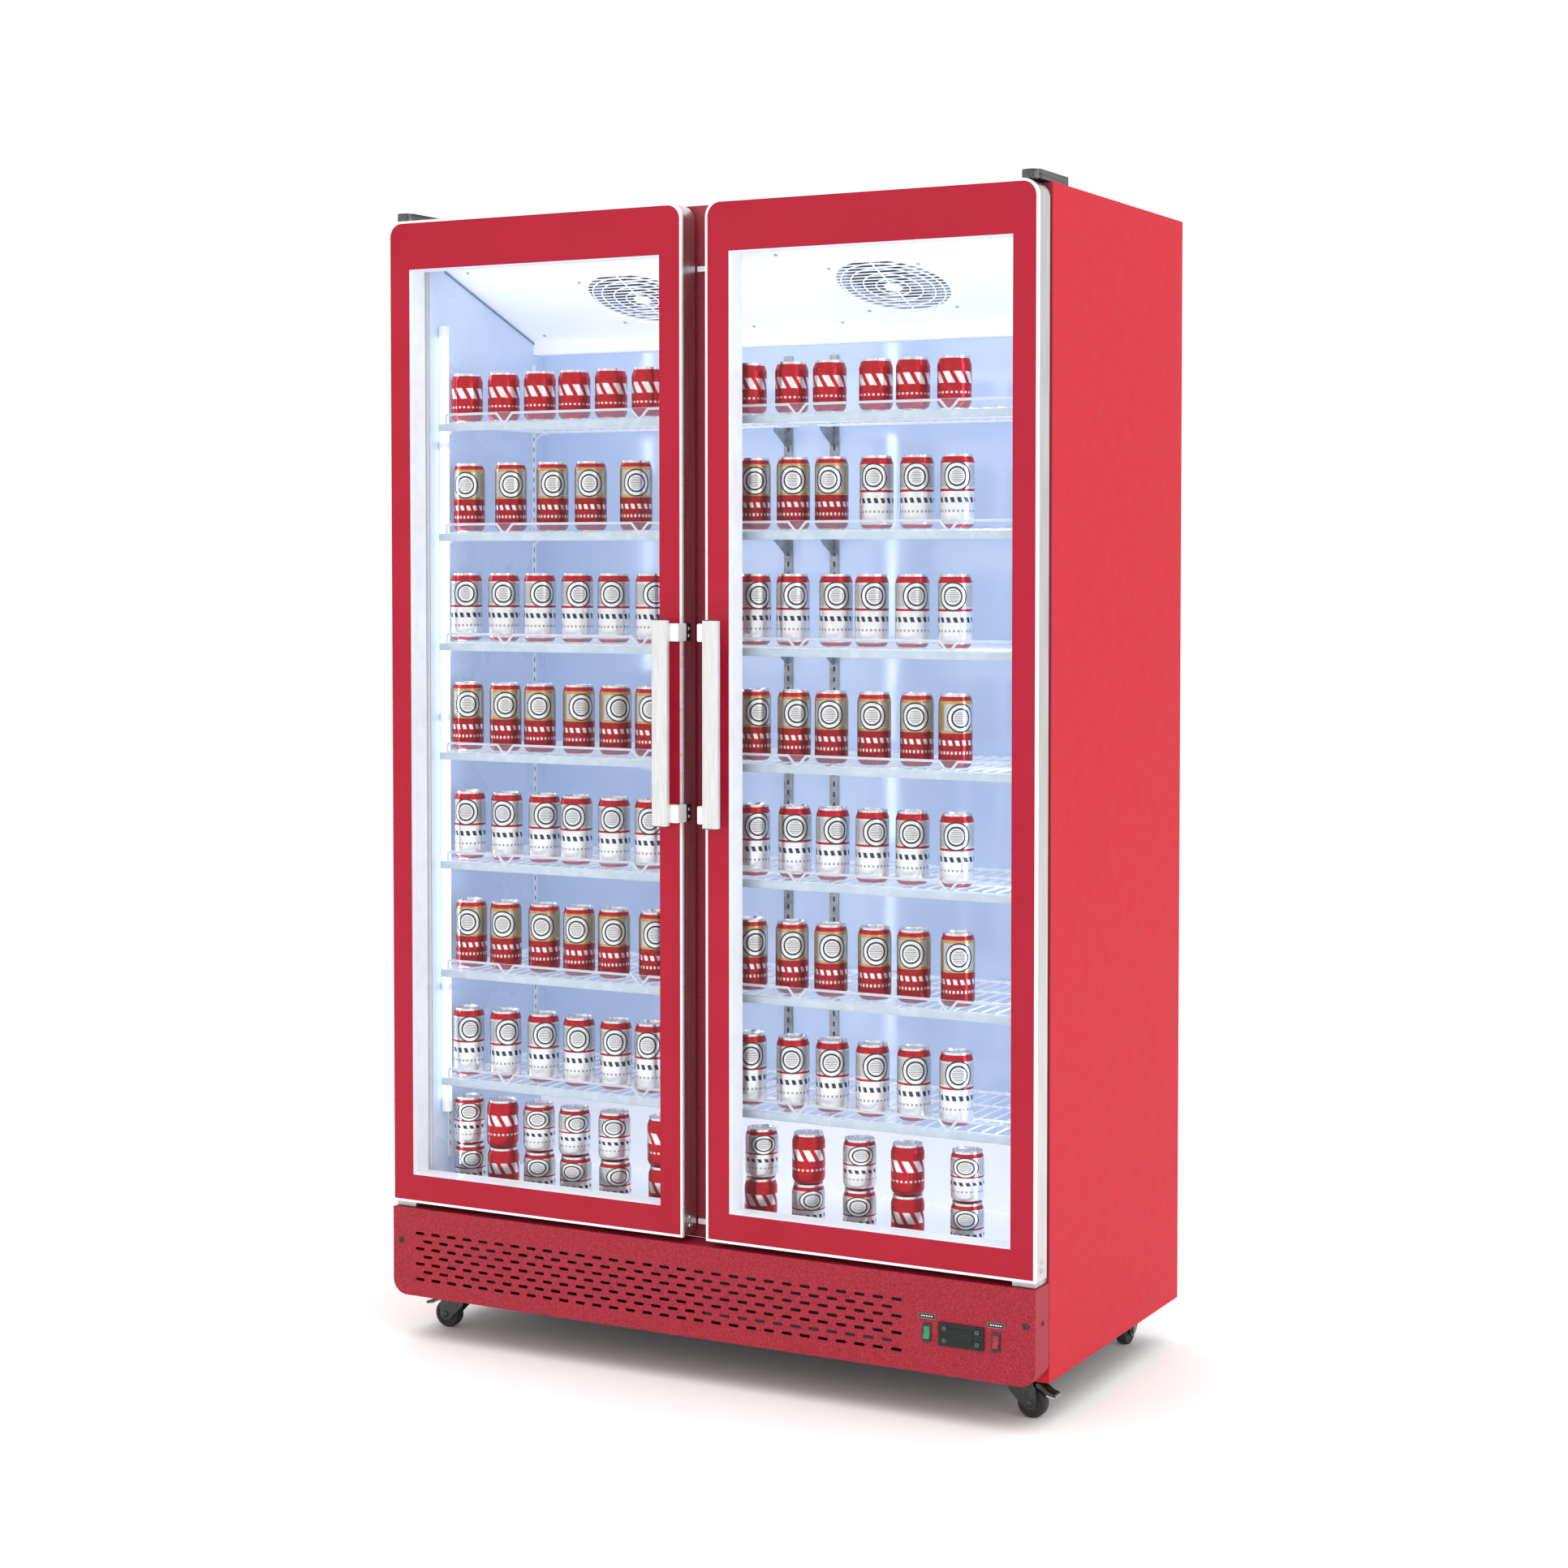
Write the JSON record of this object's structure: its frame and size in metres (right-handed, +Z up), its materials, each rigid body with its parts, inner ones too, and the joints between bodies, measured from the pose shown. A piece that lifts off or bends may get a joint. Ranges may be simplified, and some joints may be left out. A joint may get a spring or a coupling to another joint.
{
  "type": "two-door beverage cooler",
  "caption": "Upright glass-door drinks cooler with two hinged doors, wire shelves, vented kick panel and braked casters.",
  "frame": {"origin": "on the floor at the middle of the footprint", "axes": "+Z up, +X to the right seen from the front, doors face -Y"},
  "size_m": [1.25, 0.69, 2.0156],
  "materials": {
    "red_panel": "smooth semi-gloss red paint",
    "red_speckle": "speckled red powder coat",
    "mullion_red": "dark red paint",
    "liner_sheet": "white painted sheet",
    "liner_plastic": "white moulded plastic",
    "galvanised": "zinc-coated steel",
    "fin_coil": "aluminium fins on copper tube",
    "compressor_black": "black enamel",
    "black_plastic": "black moulded plastic",
    "caster_steel": "black painted steel",
    "caster_tyre": "black rubber tread",
    "hinge_metal": "dark nickel",
    "door_profile": "satin silver profile",
    "door_glass": "clear double glazing",
    "handle_metal": "fine brushed",
    "shelf_wire": "white epoxy-coated wire",
    "green_lens": "translucent green rocker",
    "red_lens": "translucent red rocker"
  },
  "bodies": {
    "cabinet": {"left_side_wall": "red_panel", "right_side_wall": "red_panel", "top_wall": "red_panel", "rear_wall": "red_panel", "mullion": "mullion_red", "base_tray": "galvanised", "floor_deck": "liner_plastic", "duct_panel": "liner_sheet", "evaporator_cover": "liner_sheet", "evaporator_coil": "fin_coil", "fan_grille_left": "liner_plastic", "fan_grille_right": "liner_plastic", "compressor": "compressor_black", "condenser_coil": "fin_coil", "condenser_shroud": "black_plastic", "kick_panel": "red_speckle", "controller_bezel": "black_plastic", "top_hinge_left": "hinge_metal", "top_hinge_right": "hinge_metal", "bottom_hinge_left": "hinge_metal", "bottom_hinge_right": "hinge_metal", "shelf_left_1": "shelf_wire", "shelf_left_2": "shelf_wire", "shelf_left_3": "shelf_wire", "shelf_left_4": "shelf_wire", "shelf_left_5": "shelf_wire", "shelf_left_6": "shelf_wire", "shelf_left_7": "shelf_wire", "shelf_right_1": "shelf_wire", "shelf_right_2": "shelf_wire", "shelf_right_3": "shelf_wire", "shelf_right_4": "shelf_wire", "shelf_right_5": "shelf_wire", "shelf_right_6": "shelf_wire", "shelf_right_7": "shelf_wire"},
    "left_door": {"left_door_frame": "door_profile", "left_door_glass": "door_glass", "left_door_handle": "handle_metal"},
    "right_door": {"right_door_frame": "door_profile", "right_door_glass": "door_glass", "right_door_handle": "handle_metal"},
    "evaporator_fan_left": {"fan_rotor_left": "black_plastic"},
    "evaporator_fan_right": {"fan_rotor_right": "black_plastic"},
    "condenser_fan": {"condenser_fan_rotor": "black_plastic"},
    "caster_front_left": {"caster_fork_front_left": "caster_steel"},
    "wheel_front_left": {"caster_wheel_front_left": "caster_tyre"},
    "caster_front_right": {"caster_fork_front_right": "caster_steel"},
    "wheel_front_right": {"caster_wheel_front_right": "caster_tyre"},
    "caster_rear_left": {"caster_fork_rear_left": "caster_steel"},
    "wheel_rear_left": {"caster_wheel_rear_left": "caster_tyre"},
    "caster_rear_right": {"caster_fork_rear_right": "caster_steel"},
    "wheel_rear_right": {"caster_wheel_rear_right": "caster_tyre"},
    "brake_front_left": {"brake_lever_front_left": "caster_steel"},
    "brake_front_right": {"brake_lever_front_right": "caster_steel"},
    "light_switch": {"light_rocker": "green_lens"},
    "power_switch": {"power_rocker": "red_lens"},
    "key_up_cap": {"key_up": "black_plastic"},
    "key_down_cap": {"key_down": "black_plastic"},
    "key_set_cap": {"key_set": "black_plastic"},
    "key_power_cap": {"key_power": "black_plastic"}
  },
  "joints": [
    {"name": "left_door_hinge", "type": "hinge", "parent": "cabinet", "child": "left_door", "pos_m": [-0.603, -0.2885, 1.1], "axis": [0, 0, -1], "range_deg": [0, 110], "stiffness_Nm_per_rad": 1.5},
    {"name": "right_door_hinge", "type": "hinge", "parent": "cabinet", "child": "right_door", "pos_m": [0.603, -0.2885, 1.1], "axis": [0, 0, 1], "range_deg": [0, 110], "stiffness_Nm_per_rad": 1.5},
    {"name": "evaporator_fan_left_spin", "type": "hinge", "parent": "cabinet", "child": "evaporator_fan_left", "pos_m": [-0.25, -0.05802, 1.86963], "axis": [0, 0.3504, 0.9366], "continuous": true},
    {"name": "evaporator_fan_right_spin", "type": "hinge", "parent": "cabinet", "child": "evaporator_fan_right", "pos_m": [0.25, -0.05802, 1.86963], "axis": [0, 0.3504, 0.9366], "continuous": true},
    {"name": "condenser_fan_spin", "type": "hinge", "parent": "cabinet", "child": "condenser_fan", "pos_m": [-0.25, -0.172, 0.144], "axis": [0, 1, 0], "continuous": true},
    {"name": "caster_swivel_front_left", "type": "hinge", "parent": "cabinet", "child": "caster_front_left", "pos_m": [-0.555, -0.205, 0.066], "axis": [0, 0, 1], "continuous": true},
    {"name": "wheel_spin_front_left", "type": "hinge", "parent": "caster_front_left", "child": "wheel_front_left", "pos_m": [-0.577, -0.205, 0.025], "axis": [0, 1, 0], "continuous": true},
    {"name": "caster_swivel_front_right", "type": "hinge", "parent": "cabinet", "child": "caster_front_right", "pos_m": [0.555, -0.205, 0.066], "axis": [0, 0, 1], "continuous": true},
    {"name": "wheel_spin_front_right", "type": "hinge", "parent": "caster_front_right", "child": "wheel_front_right", "pos_m": [0.577, -0.205, 0.025], "axis": [0, 1, 0], "continuous": true},
    {"name": "caster_swivel_rear_left", "type": "hinge", "parent": "cabinet", "child": "caster_rear_left", "pos_m": [-0.555, 0.29, 0.066], "axis": [0, 0, 1], "continuous": true},
    {"name": "wheel_spin_rear_left", "type": "hinge", "parent": "caster_rear_left", "child": "wheel_rear_left", "pos_m": [-0.555, 0.268, 0.025], "axis": [1, 0, 0], "continuous": true},
    {"name": "caster_swivel_rear_right", "type": "hinge", "parent": "cabinet", "child": "caster_rear_right", "pos_m": [0.555, 0.29, 0.066], "axis": [0, 0, 1], "continuous": true},
    {"name": "wheel_spin_rear_right", "type": "hinge", "parent": "caster_rear_right", "child": "wheel_rear_right", "pos_m": [0.555, 0.268, 0.025], "axis": [1, 0, 0], "continuous": true},
    {"name": "brake_lever_front_left_press", "type": "hinge", "parent": "caster_front_left", "child": "brake_front_left", "pos_m": [-0.586, -0.205, 0.056], "axis": [0, -1, 0], "range_deg": [0, 18]},
    {"name": "brake_lever_front_right_press", "type": "hinge", "parent": "caster_front_right", "child": "brake_front_right", "pos_m": [0.586, -0.205, 0.056], "axis": [0, 1, 0], "range_deg": [0, 18]},
    {"name": "light_rocker_flip", "type": "hinge", "parent": "cabinet", "child": "light_switch", "pos_m": [0.435, -0.311, 0.1465], "axis": [1, 0, 0], "range_deg": [0, 18]},
    {"name": "power_rocker_flip", "type": "hinge", "parent": "cabinet", "child": "power_switch", "pos_m": [0.557, -0.311, 0.1465], "axis": [1, 0, 0], "range_deg": [0, 18]},
    {"name": "key_up_press", "type": "slide", "parent": "cabinet", "child": "key_up_cap", "axis": [0, 1, 0], "range_m": [0, 0.0008], "stiffness_N_per_m": 300, "springref_m": -0.0005},
    {"name": "key_down_press", "type": "slide", "parent": "cabinet", "child": "key_down_cap", "axis": [0, 1, 0], "range_m": [0, 0.0008], "stiffness_N_per_m": 300, "springref_m": -0.0005},
    {"name": "key_set_press", "type": "slide", "parent": "cabinet", "child": "key_set_cap", "axis": [0, 1, 0], "range_m": [0, 0.0008], "stiffness_N_per_m": 300, "springref_m": -0.0005},
    {"name": "key_power_press", "type": "slide", "parent": "cabinet", "child": "key_power_cap", "axis": [0, 1, 0], "range_m": [0, 0.0008], "stiffness_N_per_m": 300, "springref_m": -0.0005}
  ]
}
